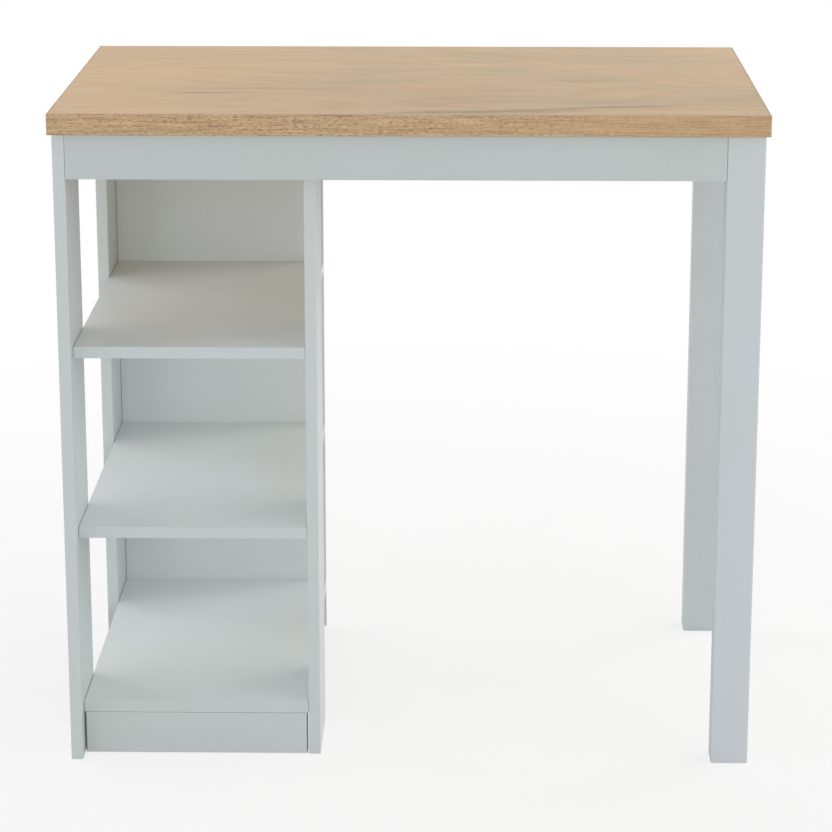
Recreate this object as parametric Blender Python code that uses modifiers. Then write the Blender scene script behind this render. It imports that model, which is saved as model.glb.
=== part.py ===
"""Kitchen island: an oak-look worktop on a railed frame, with open shelves at one end and two legs at the other.

Units are metres and +Z is up. The front faces -Y and the shelves are at -X. The origin is on the floor,
under the middle of the worktop.
"""
import bmesh
import bpy
from mathutils import Vector

# Worktop
HEIGHT = 0.900
TOP_WIDTH = 0.940
TOP_DEPTH = 0.600
TOP_THICKNESS = 0.028
TOP_SIDE_OVERHANG = 0.005
TOP_FRONT_OVERHANG = 0.010
EDGE_STRIP = 0.002
EDGE_STRIP_ROUND = 0.001

# Frame under the worktop
RAIL_HEIGHT = 0.060
RAIL_THICKNESS = 0.025
LEG_WIDTH = 0.050
LEG_DEPTH = 0.040
LEG_ROUND = 0.0015
LEG_FLAT = 0.006  # depth of the flat on a leg's inner edge, where its bolt goes in

# Shelf unit
BOARD = 0.016
BOARD_ROUND = 0.0008
POST_DEPTH = 0.136
SHELF_WIDTH = 0.310
SHELF_CLEAR = 0.236  # from one shelf's top to the underside of the next
SHELF_NAMES = ("bottom_shelf", "middle_shelf", "top_shelf")
PLINTH_HEIGHT = 0.059
PLINTH_END_GAP = 0.002
PLINTH_FLOOR_GAP = 0.001

# Cam locks and their bolts
CAM_RADIUS = 0.0075
CAM_COVER = 0.0035  # board left above a cam
CAM_SETBACK = 0.034  # from the end of a shelf to the middle of its cam
CAM_SINK = 0.0003  # how far a cam's face lies inside the board
CAM_DRIVE_RADIUS = 0.0030
CAM_DRIVE_DEPTH = 0.0025
BOLT_THREAD_RADIUS = 0.0025
BOLT_THREAD_COVER = 0.004  # board left behind the thread of a cam bolt
BOLT_COLLAR_RADIUS = 0.0035
BOLT_COLLAR_LENGTH = 0.0015
BOLT_SHANK_RADIUS = 0.0030
BOLT_NECK_RADIUS = 0.0018
BOLT_NECK_LENGTH = 0.0055
BOLT_HEAD_RADIUS = 0.0030
BOLT_HEAD_LENGTH = 0.0035

# Dowels
DOWEL_RADIUS = 0.004
DOWEL_CHAMFER = 0.001
DOWEL_DEPTH = 0.018  # into an edge or an end
DOWEL_COVER = 0.005  # board left behind a dowel that enters a face
PLINTH_DOWEL_INSET = 0.050
PANEL_DOWEL_INSET = 0.050

# Screws
SCREW_RADIUS = 0.0020
SCREW_HEAD_RADIUS = 0.0040
SCREW_HEAD_LENGTH = 0.0025
SCREW_TIP = 0.005
SCREW_SINK = 0.0003  # how far a head lies inside the face
SCREW_DRIVE_RADIUS = 0.0018
SCREW_DRIVE_DEPTH = 0.0018
PANEL_SCREW_BITE = 0.029  # length inside a shelf
PANEL_SCREW_INSET = 0.070  # from the right end of a shelf
TOP_SCREW_BITE = 0.016  # length inside the worktop
TOP_SCREW_COUNTERBORE = 0.026  # depth of the hole below the head
TOP_SCREW_INSET = 0.120  # from a leg, or from the back panel

# Leg brackets
BRACKET_THICKNESS = 0.002
BRACKET_HEIGHT = 0.040
BRACKET_STANDOFF = 0.014  # from a leg's inner edge to the middle of the web
BRACKET_HOOK = 0.008  # how far an end reaches into the groove in a rail
BRACKET_LIP = 0.006  # straight length of an end outside its groove
HANGER_RADIUS = 0.004
HANGER_BITE = 0.028  # length inside the line of the leg's inner edge
HANGER_TAIL = 0.012  # length past the middle of the web
HANGER_TIP = 0.006
NUT_RADIUS = 0.0075  # to a corner of the hexagon
NUT_HEIGHT = 0.0065

# Fits
GAP = 0.0003  # between boards that meet
FIT = 0.0003  # round a fastener
OPEN_END = 0.004  # how far a cut runs past the face that it opens in

# Facets round a turned piece
CAM_STEPS = 16
STEPS = 12

# Finishes: name, linear red, green and blue, roughness, metallic
OAK = ("oak_laminate", (0.571, 0.451, 0.314), 0.45, 0.0)
OAK_STRIP = ("oak_edge_strip", (0.479, 0.333, 0.188), 0.50, 0.0)
WHITE = ("white_melamine", (0.503, 0.546, 0.552), 0.42, 0.0)
ZINC = ("cast_zinc", (0.42, 0.42, 0.43), 0.40, 1.0)
STEEL = ("plated_steel", (0.56, 0.56, 0.55), 0.30, 1.0)
BEECH = ("beech", (0.56, 0.36, 0.19), 0.65, 0.0)

# Places worked out from the sizes
TOP_UNDER = HEIGHT - TOP_THICKNESS
FRAME_TOP = TOP_UNDER - GAP
RAIL_UNDER = TOP_UNDER - RAIL_HEIGHT
RAIL_MIDDLE = TOP_UNDER - RAIL_HEIGHT / 2
RAIL_DOWEL_Z = RAIL_MIDDLE - RAIL_HEIGHT / 4
FRAME_X = TOP_WIDTH / 2 - TOP_SIDE_OVERHANG
FRAME_Y = TOP_DEPTH / 2 - TOP_FRONT_OVERHANG
RAIL_INNER_X = FRAME_X - RAIL_THICKNESS
RAIL_INNER_Y = FRAME_Y - RAIL_THICKNESS
LEG_INNER_X = FRAME_X - LEG_WIDTH
LEG_INNER_Y = FRAME_Y - LEG_DEPTH
POST_INNER_X = BOARD - FRAME_X
POST_INNER_Y = FRAME_Y - POST_DEPTH
SHELF_LEFT = POST_INNER_X + GAP
SHELF_RIGHT = SHELF_LEFT + SHELF_WIDTH
SHELF_FRONT = GAP - RAIL_INNER_Y
SHELF_REAR = RAIL_INNER_Y - GAP
SHELF_UNDERS = [PLINTH_FLOOR_GAP + PLINTH_HEIGHT + GAP + level * (SHELF_CLEAR + BOARD) for level in range(3)]
SHELF_GRIP_Y = (RAIL_INNER_Y + POST_INNER_Y) / 2  # middle of where a shelf's end and a left post meet
INNER_POST_X = SHELF_RIGHT + GAP
PANEL_FRONT = RAIL_INNER_Y
PANEL_REAR = PANEL_FRONT + BOARD
FACE_DEPTH = BOARD - DOWEL_COVER

UP = Vector((0, 0, 1))
RIGHT = Vector((1, 0, 0))
BACK = Vector((0, 1, 0))
DOWN = -UP
LEFT = -RIGHT
FRONT = -BACK


def clear_scene():
    """Remove every object that the scene starts with."""
    for thing in list(bpy.data.objects):
        bpy.data.objects.remove(thing, do_unlink=True)


def new_collection(name):
    """Add a collection to the scene."""
    collection = bpy.data.collections.new(name)
    bpy.context.scene.collection.children.link(collection)
    return collection


clear_scene()
PIECES = new_collection("kitchen_island")
CUTTERS = new_collection("cutters")
ORIGIN = bpy.data.objects.new("island_origin", None)
PIECES.objects.link(ORIGIN)


def finish_material(finish):
    """Return the material of a finish, made the first time that it is asked for."""
    name, colour, roughness, metallic = finish
    if name not in bpy.data.materials:
        material = bpy.data.materials.new(name)
        material.use_nodes = True
        shader = material.node_tree.nodes["Principled BSDF"]
        shader.inputs["Base Color"].default_value = (*colour, 1.0)
        shader.inputs["Roughness"].default_value = roughness
        shader.inputs["Metallic"].default_value = metallic
    return bpy.data.materials[name]


def add_piece(name, mesh, finish):
    """Add a piece of the island, in its finish."""
    mesh.materials.append(finish_material(finish))
    piece = bpy.data.objects.new(name, mesh)
    PIECES.objects.link(piece)
    piece.parent = ORIGIN
    return piece


def add_cutter(name, mesh):
    """Add a shape that only cuts others."""
    cutter = bpy.data.objects.new(name, mesh)
    CUTTERS.objects.link(cutter)
    cutter.hide_render = True
    cutter.display_type = "WIRE"
    return cutter


def cut(piece, cutter):
    """Cut one shape out of a piece."""
    boolean = piece.modifiers.new(cutter.name, "BOOLEAN")
    boolean.operation = "DIFFERENCE"
    boolean.solver = "EXACT"
    boolean.object = cutter


def point_along(thing, place, axis):
    """Place an object with its own Z axis along a direction, and its own Y axis as upright as it can be."""
    thing.location = place
    thing.rotation_mode = "QUATERNION"
    thing.rotation_quaternion = axis.to_track_quat("Z", "Y")


def mesh_from(shape, name):
    """Return a mesh with the shape that was drawn."""
    mesh = bpy.data.meshes.new(name)
    shape.to_mesh(mesh)
    shape.free()
    return mesh


def box_shape(size):
    """Draw a box about its middle."""
    shape = bmesh.new()
    bmesh.ops.create_cube(shape, size=1.0)
    bmesh.ops.scale(shape, vec=size, verts=shape.verts)
    return shape


def board(name, low, high, finish, rounding=0.0):
    """Make a board between two corners, with its edges rounded if asked."""
    low = Vector(low)
    high = Vector(high)
    piece = add_piece(name, mesh_from(box_shape(high - low), name), finish)
    piece.location = (low + high) / 2
    if rounding:
        bevel = piece.modifiers.new("eased_edges", "BEVEL")
        bevel.width = rounding
        bevel.segments = 2
    return piece


def edge_strip(name, low, high, outward):
    """Make one oak strip for the worktop's edge, rounded on its outer side only."""
    low = Vector(low)
    high = Vector(high)
    shape = box_shape(high - low)
    outer = [edge for edge in shape.edges if all(corner.co.dot(outward) > 0 for corner in edge.verts)]
    bmesh.ops.bevel(shape, geom=outer, offset=EDGE_STRIP_ROUND, segments=2, profile=0.5, affect="EDGES")
    strip = add_piece(name, mesh_from(shape, name), OAK_STRIP)
    strip.location = (low + high) / 2
    return strip


def turned_mesh(name, profile):
    """Return a profile of (radius, height) points, listed from the top down, as a line of edges."""
    mesh = bpy.data.meshes.new(name)
    points = [(radius, 0, height) for radius, height in profile]
    mesh.from_pydata(points, [(index, index + 1) for index in range(len(points) - 1)], [])
    return mesh


def turn(thing, steps):
    """Turn a profile right round its own Z axis."""
    screw = thing.modifiers.new("turned", "SCREW")
    screw.steps = steps
    screw.render_steps = steps
    screw.use_merge_vertices = True
    screw.merge_threshold = 0.00001
    screw.use_smooth_shade = True


def fastener(name, profile, bore, place, axis, finish, holders, steps=STEPS):
    """Make a turned fastener, and cut its bore in each piece that holds it."""
    piece = add_piece(name, turned_mesh(name, profile), finish)
    cutter = add_cutter(name + "_bore", turned_mesh(name + "_bore", bore))
    for thing in (piece, cutter):
        point_along(thing, place, axis)
        turn(thing, steps)
    for holder in holders:
        cut(holder, cutter)
    return piece


def plain_bore(radius, top, bottom):
    """Return the profile of a straight hole round a fastener of that radius."""
    return [(0, top), (radius + FIT, top), (radius + FIT, bottom), (0, bottom)]


def make_worktop():
    """Make the worktop and the four strips round its edge; the front and rear strips cover the corners."""
    half_x = TOP_WIDTH / 2
    half_y = TOP_DEPTH / 2
    strip_x = half_x - EDGE_STRIP
    strip_y = half_y - EDGE_STRIP
    core_x = strip_x - GAP
    core_y = strip_y - GAP
    edge_strip("worktop_edge_front", (-half_x, -half_y, TOP_UNDER), (half_x, -strip_y, HEIGHT), FRONT)
    edge_strip("worktop_edge_rear", (-half_x, strip_y, TOP_UNDER), (half_x, half_y, HEIGHT), BACK)
    edge_strip("worktop_edge_left", (-half_x, -core_y, TOP_UNDER), (-strip_x, core_y, HEIGHT), LEFT)
    edge_strip("worktop_edge_right", (strip_x, -core_y, TOP_UNDER), (half_x, core_y, HEIGHT), RIGHT)
    return board("worktop", (-core_x, -core_y, TOP_UNDER), (core_x, core_y, HEIGHT), OAK)


def make_rails():
    """Make the four rails that join the posts and the legs under the worktop."""
    left_end = POST_INNER_X + GAP
    right_end = LEG_INNER_X - GAP
    post_end = POST_INNER_Y - GAP
    leg_end = LEG_INNER_Y - GAP
    plans = {
        "front_rail": ((left_end, -FRAME_Y), (right_end, -RAIL_INNER_Y)),
        "rear_rail": ((left_end, RAIL_INNER_Y), (right_end, FRAME_Y)),
        "left_rail": ((-FRAME_X, -post_end), (-RAIL_INNER_X, post_end)),
        "right_rail": ((RAIL_INNER_X, -leg_end), (FRAME_X, leg_end)),
    }
    rails = {}
    for name, (low, high) in plans.items():
        rails[name] = board(name, (*low, RAIL_UNDER), (*high, FRAME_TOP), WHITE, BOARD_ROUND)
    return rails


def make_uprights():
    """Make the three posts of the shelf unit and the two legs at the other end."""
    inner_right = INNER_POST_X + BOARD
    inner_rear = SHELF_FRONT + POST_DEPTH
    plans = {
        "front_left_post": ((-FRAME_X, -FRAME_Y), (POST_INNER_X, -POST_INNER_Y), BOARD_ROUND),
        "rear_left_post": ((-FRAME_X, POST_INNER_Y), (POST_INNER_X, FRAME_Y), BOARD_ROUND),
        "front_right_post": ((INNER_POST_X, SHELF_FRONT), (inner_right, inner_rear), BOARD_ROUND),
        "front_leg": ((LEG_INNER_X, -FRAME_Y), (FRAME_X, -LEG_INNER_Y), LEG_ROUND),
        "rear_leg": ((LEG_INNER_X, LEG_INNER_Y), (FRAME_X, FRAME_Y), LEG_ROUND),
    }
    uprights = {}
    for name, (low, high, rounding) in plans.items():
        uprights[name] = board(name, (*low, 0), (*high, FRAME_TOP), WHITE, rounding)
    return uprights


def make_shelf_unit():
    """Make the three shelves, the plinth below them and the panel behind them."""
    unit = {}
    for name, under in zip(SHELF_NAMES, SHELF_UNDERS):
        low = (SHELF_LEFT, SHELF_FRONT, under)
        high = (SHELF_RIGHT, SHELF_REAR, under + BOARD)
        unit[name] = board(name, low, high, WHITE, BOARD_ROUND)
    plinth_low = (POST_INNER_X + PLINTH_END_GAP, SHELF_FRONT, PLINTH_FLOOR_GAP)
    plinth_high = (INNER_POST_X - PLINTH_END_GAP, SHELF_FRONT + BOARD, PLINTH_FLOOR_GAP + PLINTH_HEIGHT)
    unit["plinth"] = board("plinth", plinth_low, plinth_high, WHITE, BOARD_ROUND)
    panel_low = (SHELF_LEFT, PANEL_FRONT, 0)
    panel_high = (SHELF_RIGHT, PANEL_REAR, RAIL_UNDER - GAP)
    unit["back_panel"] = board("back_panel", panel_low, panel_high, WHITE, BOARD_ROUND)
    return unit


def cam_lock(name, place, shelf):
    """Make a cam lock that faces down, and cut its place in the underside of a shelf."""
    height = BOARD - CAM_COVER - CAM_SINK
    profile = [
        (0, -CAM_DRIVE_DEPTH),
        (CAM_DRIVE_RADIUS, 0),
        (CAM_RADIUS, 0),
        (CAM_RADIUS, -height),
        (0, -height),
    ]
    bore = plain_bore(CAM_RADIUS, OPEN_END, -height - FIT)
    return fastener(name, profile, bore, place, DOWN, ZINC, [shelf], CAM_STEPS)


def cam_bolt(name, place, inward, holders):
    """Make a cam bolt; its place is where the shelf meets the post, and its head is inside the cam."""
    head_top = CAM_SETBACK + BOLT_HEAD_LENGTH / 2
    neck_top = head_top - BOLT_HEAD_LENGTH
    shank_top = neck_top - BOLT_NECK_LENGTH
    collar_end = GAP + FIT
    collar_top = collar_end + BOLT_COLLAR_LENGTH
    thread_end = BOLT_THREAD_COVER - BOARD
    profile = [
        (0, head_top),
        (BOLT_HEAD_RADIUS, head_top),
        (BOLT_HEAD_RADIUS, neck_top),
        (BOLT_NECK_RADIUS, neck_top),
        (BOLT_NECK_RADIUS, shank_top),
        (BOLT_SHANK_RADIUS, shank_top),
        (BOLT_SHANK_RADIUS, collar_top),
        (BOLT_COLLAR_RADIUS, collar_top),
        (BOLT_COLLAR_RADIUS, collar_end),
        (BOLT_THREAD_RADIUS, collar_end),
        (BOLT_THREAD_RADIUS, thread_end),
        (0, thread_end),
    ]
    shelf_bore = BOLT_COLLAR_RADIUS + FIT
    post_bore = BOLT_THREAD_RADIUS + FIT
    bore = [
        (0, head_top + FIT),
        (shelf_bore, head_top + FIT),
        (shelf_bore, GAP / 2),
        (post_bore, GAP / 2),
        (post_bore, thread_end - FIT),
        (0, thread_end - FIT),
    ]
    return fastener(name, profile, bore, place, inward, STEEL, holders)


def dowel(name, place, axis, far_depth, near_depth, holders):
    """Make a beech dowel across a joint: its far depth is along the axis, its near depth against it."""
    blunt = DOWEL_RADIUS - DOWEL_CHAMFER
    profile = [
        (0, far_depth),
        (blunt, far_depth),
        (DOWEL_RADIUS, far_depth - DOWEL_CHAMFER),
        (DOWEL_RADIUS, DOWEL_CHAMFER - near_depth),
        (blunt, -near_depth),
        (0, -near_depth),
    ]
    bore = plain_bore(DOWEL_RADIUS, far_depth + FIT, -near_depth - FIT)
    return fastener(name, profile, bore, place, axis, BEECH, holders)


def countersunk_screw(name, place, outward, length, counterbore, holders):
    """Make a screw with its head at the place given, in a hole that is open past the head."""
    profile = [
        (0, -SCREW_DRIVE_DEPTH),
        (SCREW_DRIVE_RADIUS, 0),
        (SCREW_HEAD_RADIUS, 0),
        (SCREW_RADIUS, -SCREW_HEAD_LENGTH),
        (SCREW_RADIUS, SCREW_TIP - length),
        (0, -length),
    ]
    mouth = counterbore + OPEN_END
    bore = [
        (0, mouth),
        (SCREW_HEAD_RADIUS + FIT, mouth),
        (SCREW_HEAD_RADIUS + FIT, 0),
        (SCREW_RADIUS + FIT, -SCREW_HEAD_LENGTH),
        (SCREW_RADIUS + FIT, -length - FIT),
        (0, -length - FIT),
    ]
    return fastener(name, profile, bore, place, outward, STEEL, holders)


def fix_shelves(unit, uprights):
    """Fix each shelf with cams at the front posts, a dowel at the rear left post and a screw at the back."""
    ends = {
        "left": (SHELF_LEFT, POST_INNER_X, RIGHT, "front_left_post"),
        "right": (SHELF_RIGHT, INNER_POST_X, LEFT, "front_right_post"),
    }
    for name, under in zip(SHELF_NAMES, SHELF_UNDERS):
        shelf = unit[name]
        middle = under + BOARD / 2
        for side, (shelf_end, post_face, inward, post) in ends.items():
            cam_place = (shelf_end + inward.x * CAM_SETBACK, -SHELF_GRIP_Y, under + CAM_SINK)
            cam = cam_lock(f"{name}_{side}_cam", cam_place, shelf)
            bolt_place = (post_face, -SHELF_GRIP_Y, middle)
            cam_bolt(f"{name}_{side}_bolt", bolt_place, inward, [uprights[post], shelf, cam])
        dowel_place = (POST_INNER_X, SHELF_GRIP_Y, middle)
        dowel_holders = [shelf, uprights["rear_left_post"]]
        dowel(f"{name}_dowel", dowel_place, RIGHT, DOWEL_DEPTH, FACE_DEPTH, dowel_holders)
        screw_place = (SHELF_RIGHT - PANEL_SCREW_INSET, PANEL_REAR - SCREW_SINK, middle)
        screw_length = BOARD + PANEL_SCREW_BITE
        screw_holders = [unit["back_panel"], shelf]
        countersunk_screw(f"{name}_screw", screw_place, BACK, screw_length, SCREW_SINK, screw_holders)


def peg_shelf_unit(unit, uprights, rails):
    """Peg the plinth to the bottom shelf, the panel to the rear rail and the inner post to the front rail."""
    ends = {"left": (SHELF_LEFT, RIGHT), "right": (SHELF_RIGHT, LEFT)}
    for side, (end, inward) in ends.items():
        plinth_place = (end + inward.x * PLINTH_DOWEL_INSET, SHELF_FRONT + BOARD / 2, SHELF_UNDERS[0])
        plinth_holders = [unit["plinth"], unit["bottom_shelf"]]
        dowel(f"plinth_{side}_dowel", plinth_place, UP, FACE_DEPTH, DOWEL_DEPTH, plinth_holders)
        panel_place = (end + inward.x * PANEL_DOWEL_INSET, PANEL_FRONT + BOARD / 2, RAIL_UNDER)
        panel_holders = [unit["back_panel"], rails["rear_rail"]]
        dowel(f"panel_{side}_dowel", panel_place, UP, DOWEL_DEPTH, DOWEL_DEPTH, panel_holders)
    post_place = (INNER_POST_X + BOARD / 2, -RAIL_INNER_Y, RAIL_MIDDLE)
    post_holders = [uprights["front_right_post"], rails["front_rail"]]
    dowel("front_right_post_dowel", post_place, BACK, DOWEL_DEPTH, RAIL_THICKNESS - DOWEL_COVER, post_holders)


def peg_rails(rails, uprights):
    """Peg the end of each rail to the post or leg that it meets."""
    rail_line_x = FRAME_X - RAIL_THICKNESS / 2
    rail_line_y = FRAME_Y - RAIL_THICKNESS / 2
    post_line_x = BOARD / 2 - FRAME_X
    joints = [
        ("front_rail", "left", "front_left_post", POST_INNER_X, -rail_line_y, RIGHT, FACE_DEPTH),
        ("front_rail", "right", "front_leg", LEG_INNER_X, -rail_line_y, LEFT, DOWEL_DEPTH),
        ("rear_rail", "left", "rear_left_post", POST_INNER_X, rail_line_y, RIGHT, FACE_DEPTH),
        ("rear_rail", "right", "rear_leg", LEG_INNER_X, rail_line_y, LEFT, DOWEL_DEPTH),
        ("left_rail", "front", "front_left_post", post_line_x, -POST_INNER_Y, BACK, DOWEL_DEPTH),
        ("left_rail", "rear", "rear_left_post", post_line_x, POST_INNER_Y, FRONT, DOWEL_DEPTH),
        ("right_rail", "front", "front_leg", rail_line_x, -LEG_INNER_Y, BACK, DOWEL_DEPTH),
        ("right_rail", "rear", "rear_leg", rail_line_x, LEG_INNER_Y, FRONT, DOWEL_DEPTH),
    ]
    for rail, end, upright, x, y, inward, depth in joints:
        holders = [rails[rail], uprights[upright]]
        dowel(f"{rail}_{end}_dowel", (x, y, RAIL_DOWEL_Z), inward, DOWEL_DEPTH, depth, holders)


def bracket_mesh(name, side, spare):
    """Return the middle sheet of a corner bracket: two ends that hook into the rails, and a web between them.

    The side is -1 at the front leg and 1 at the rear leg, and the spare lengthens the free edges.
    """
    web = Vector((LEG_INNER_X, LEG_INNER_Y)) - Vector((1, 1)).normalized() * BRACKET_STANDOFF
    lip_x = RAIL_INNER_X - BRACKET_LIP
    lip_y = RAIL_INNER_Y - BRACKET_LIP
    hook = BRACKET_HOOK + spare
    plan = [
        (web.x - (lip_y - web.y), RAIL_INNER_Y + hook),
        (web.x - (lip_y - web.y), lip_y),
        (lip_x, web.y - (lip_x - web.x)),
        (RAIL_INNER_X + hook, web.y - (lip_x - web.x)),
    ]
    height = BRACKET_HEIGHT + 2 * spare
    shape = bmesh.new()
    corners = [shape.verts.new((x, side * y, RAIL_MIDDLE - height / 2)) for x, y in plan]
    folds = [shape.edges.new(pair) for pair in zip(corners, corners[1:])]
    raised = bmesh.ops.extrude_edge_only(shape, edges=folds)["geom"]
    upper = [item for item in raised if isinstance(item, bmesh.types.BMVert)]
    bmesh.ops.translate(shape, vec=UP * height, verts=upper)
    return mesh_from(shape, name)


def thicken(thing, thickness):
    """Give a sheet its thickness, half to each side."""
    solidify = thing.modifiers.new("thickness", "SOLIDIFY")
    solidify.thickness = thickness
    solidify.offset = 0.0
    solidify.use_even_offset = True


def hex_nut(name, place, axis):
    """Make a plain hexagon; the bolt's bore is cut in it later."""
    shape = bmesh.new()
    size = {"radius1": NUT_RADIUS, "radius2": NUT_RADIUS, "depth": NUT_HEIGHT}
    bmesh.ops.create_cone(shape, segments=6, cap_ends=True, **size)
    nut = add_piece(name, mesh_from(shape, name), STEEL)
    point_along(nut, place, axis)
    return nut


def bolt_leg(name, side, leg, rails):
    """Bolt a leg to the corner of the frame with a folded bracket, a hanger bolt and a nut."""
    bracket_name = f"{name}_bracket"
    bracket = add_piece(bracket_name, bracket_mesh(bracket_name, side, 0), STEEL)
    thicken(bracket, BRACKET_THICKNESS)
    groove = add_cutter(f"{bracket_name}_groove", bracket_mesh(f"{bracket_name}_groove", side, FIT))
    thicken(groove, BRACKET_THICKNESS + 2 * FIT)
    for rail in rails:
        cut(rail, groove)

    corner = Vector((LEG_INNER_X, side * LEG_INNER_Y, RAIL_MIDDLE))
    inward = Vector((-1, -side, 0)).normalized()
    flat_name = f"{name}_flat"
    flat = add_cutter(flat_name, mesh_from(box_shape((LEG_WIDTH, RAIL_HEIGHT, 2 * LEG_FLAT)), flat_name))
    point_along(flat, corner + UP * OPEN_END, inward)
    cut(leg, flat)

    nut_face = BRACKET_STANDOFF + BRACKET_THICKNESS / 2 + FIT
    nut = hex_nut(f"{name}_nut", corner + inward * (nut_face + NUT_HEIGHT / 2), inward)
    end = BRACKET_STANDOFF + HANGER_TAIL
    profile = [(0, end), (HANGER_RADIUS, end), (HANGER_RADIUS, HANGER_TIP - HANGER_BITE), (0, -HANGER_BITE)]
    bore = plain_bore(HANGER_RADIUS, end + FIT, -HANGER_BITE - FIT)
    fastener(f"{name}_bolt", profile, bore, corner, inward, STEEL, [leg, bracket, nut])


def screw_down_worktop(worktop, rails):
    """Screw the worktop down through the front and rear rails, where the screws can be reached from below."""
    leg_end = LEG_INNER_X - TOP_SCREW_INSET
    places = {
        "front_left": ("front_rail", (SHELF_LEFT + SHELF_RIGHT) / 2, -1),
        "front_right": ("front_rail", leg_end, -1),
        "rear_left": ("rear_rail", SHELF_RIGHT + TOP_SCREW_INSET, 1),
        "rear_right": ("rear_rail", leg_end, 1),
    }
    length = RAIL_HEIGHT - TOP_SCREW_COUNTERBORE + TOP_SCREW_BITE
    for corner, (rail, x, side) in places.items():
        place = (x, side * (FRAME_Y - RAIL_THICKNESS / 2), RAIL_UNDER + TOP_SCREW_COUNTERBORE)
        holders = [rails[rail], worktop]
        countersunk_screw(f"worktop_{corner}_screw", place, DOWN, length, TOP_SCREW_COUNTERBORE, holders)


def make_island():
    """Make every piece of the island, then its fasteners."""
    worktop = make_worktop()
    rails = make_rails()
    uprights = make_uprights()
    unit = make_shelf_unit()
    fix_shelves(unit, uprights)
    peg_shelf_unit(unit, uprights, rails)
    peg_rails(rails, uprights)
    bolt_leg("front_leg", -1, uprights["front_leg"], [rails["front_rail"], rails["right_rail"]])
    bolt_leg("rear_leg", 1, uprights["rear_leg"], [rails["rear_rail"], rails["right_rail"]])
    screw_down_worktop(worktop, rails)


make_island()
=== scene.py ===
"""Looks of the kitchen island: edged pale boards, an oak-look worktop, its fasteners, a studio and a camera.

Units are metres. +Z is up, the front faces -Y and the shelves are at -X.
"""

import logging
import math
from collections.abc import Callable, Sequence
from dataclasses import dataclass, field
from enum import Enum
from typing import NamedTuple

import bmesh
import bpy
from mathutils import Color, Matrix, Vector


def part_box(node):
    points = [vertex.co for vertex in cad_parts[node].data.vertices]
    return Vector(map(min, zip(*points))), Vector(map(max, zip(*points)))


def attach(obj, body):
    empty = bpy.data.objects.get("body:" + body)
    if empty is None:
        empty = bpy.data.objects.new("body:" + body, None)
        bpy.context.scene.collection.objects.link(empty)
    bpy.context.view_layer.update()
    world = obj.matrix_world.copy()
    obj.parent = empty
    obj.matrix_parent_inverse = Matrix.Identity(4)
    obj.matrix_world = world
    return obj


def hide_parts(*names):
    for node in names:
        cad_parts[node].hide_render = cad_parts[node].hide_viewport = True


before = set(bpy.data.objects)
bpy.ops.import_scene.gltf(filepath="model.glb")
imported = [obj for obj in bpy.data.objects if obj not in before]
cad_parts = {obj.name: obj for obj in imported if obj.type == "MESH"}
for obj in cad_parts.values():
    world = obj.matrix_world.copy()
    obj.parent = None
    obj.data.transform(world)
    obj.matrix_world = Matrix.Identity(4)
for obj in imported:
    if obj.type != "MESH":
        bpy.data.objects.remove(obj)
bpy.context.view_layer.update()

Colour = tuple[float, float, float, float]
Point = tuple[float, float, float]
Span = tuple[float, float]
Node = bpy.types.Node
Socket = bpy.types.NodeSocket
Sockets = dict[str, Socket]
Feed = Socket | float | Colour | Vector
Feeds = dict[str | int, Feed]
Material = bpy.types.Material
Mesh = bpy.types.Mesh
Shape = bmesh.types.BMesh
Radius = Callable[[float, float], float]

LOG = logging.getLogger("kitchen_island")
BODY = "root"
SHELVES = ("bottom_shelf", "middle_shelf", "top_shelf")
ENDS = ("left", "right")
WELD = 1e-6
SHARP_ANGLE = math.radians(35)
FULL_SHARE = 255
WHITE: Colour = (1.0, 1.0, 1.0, 1.0)
MOST_NOISE: Span = (0.3, 0.7)
WIDE_NOISE: Span = (0.25, 0.75)
VECTOR_SOCKET = "NodeSocketVector"
FLOAT_SOCKET = "NodeSocketFloat"


def tone(red: int, green: int, blue: int) -> Colour:
    """Return a colour of a paint chart, in shares from 0 to 255, as linear light."""
    chart = Color([share / FULL_SHARE for share in (red, green, blue)])
    return (*chart.from_srgb_to_scene_linear(), 1.0)


class Slot(Enum):
    """The record's names for the finishes."""

    OAK_LAMINATE = "oak_laminate"
    OAK_EDGE = "oak_edge_strip"
    MELAMINE = "white_melamine"
    ZINC = "cast_zinc"
    STEEL = "plated_steel"
    BEECH = "beech"


class Side(Enum):
    """The sides of a board, by the way that each one faces."""

    LEFT = (-1.0, 0.0, 0.0)
    RIGHT = (1.0, 0.0, 0.0)
    FRONT = (0.0, -1.0, 0.0)
    REAR = (0.0, 1.0, 0.0)
    UNDER = (0.0, 0.0, -1.0)


class GrainWay(Enum):
    """The way that wood grain runs, as the order of axes along, across and through it."""

    ALONG_X = ("X", "Y", "Z")
    ALONG_Y = ("Y", "X", "Z")
    ALONG_Z = ("Z", "X", "Y")


@dataclass(frozen=True)
class Extent:
    """The lowest and highest corner of a piece."""

    low: Vector
    high: Vector

    @classmethod
    def of(cls, node: str) -> "Extent":
        """Return the extent of a piece of the frame."""
        return cls(*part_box(node))

    @property
    def middle(self) -> Vector:
        """The point halfway between the corners."""
        return (self.low + self.high) / 2

    @property
    def size(self) -> Vector:
        """The length of each side."""
        return self.high - self.low


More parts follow.
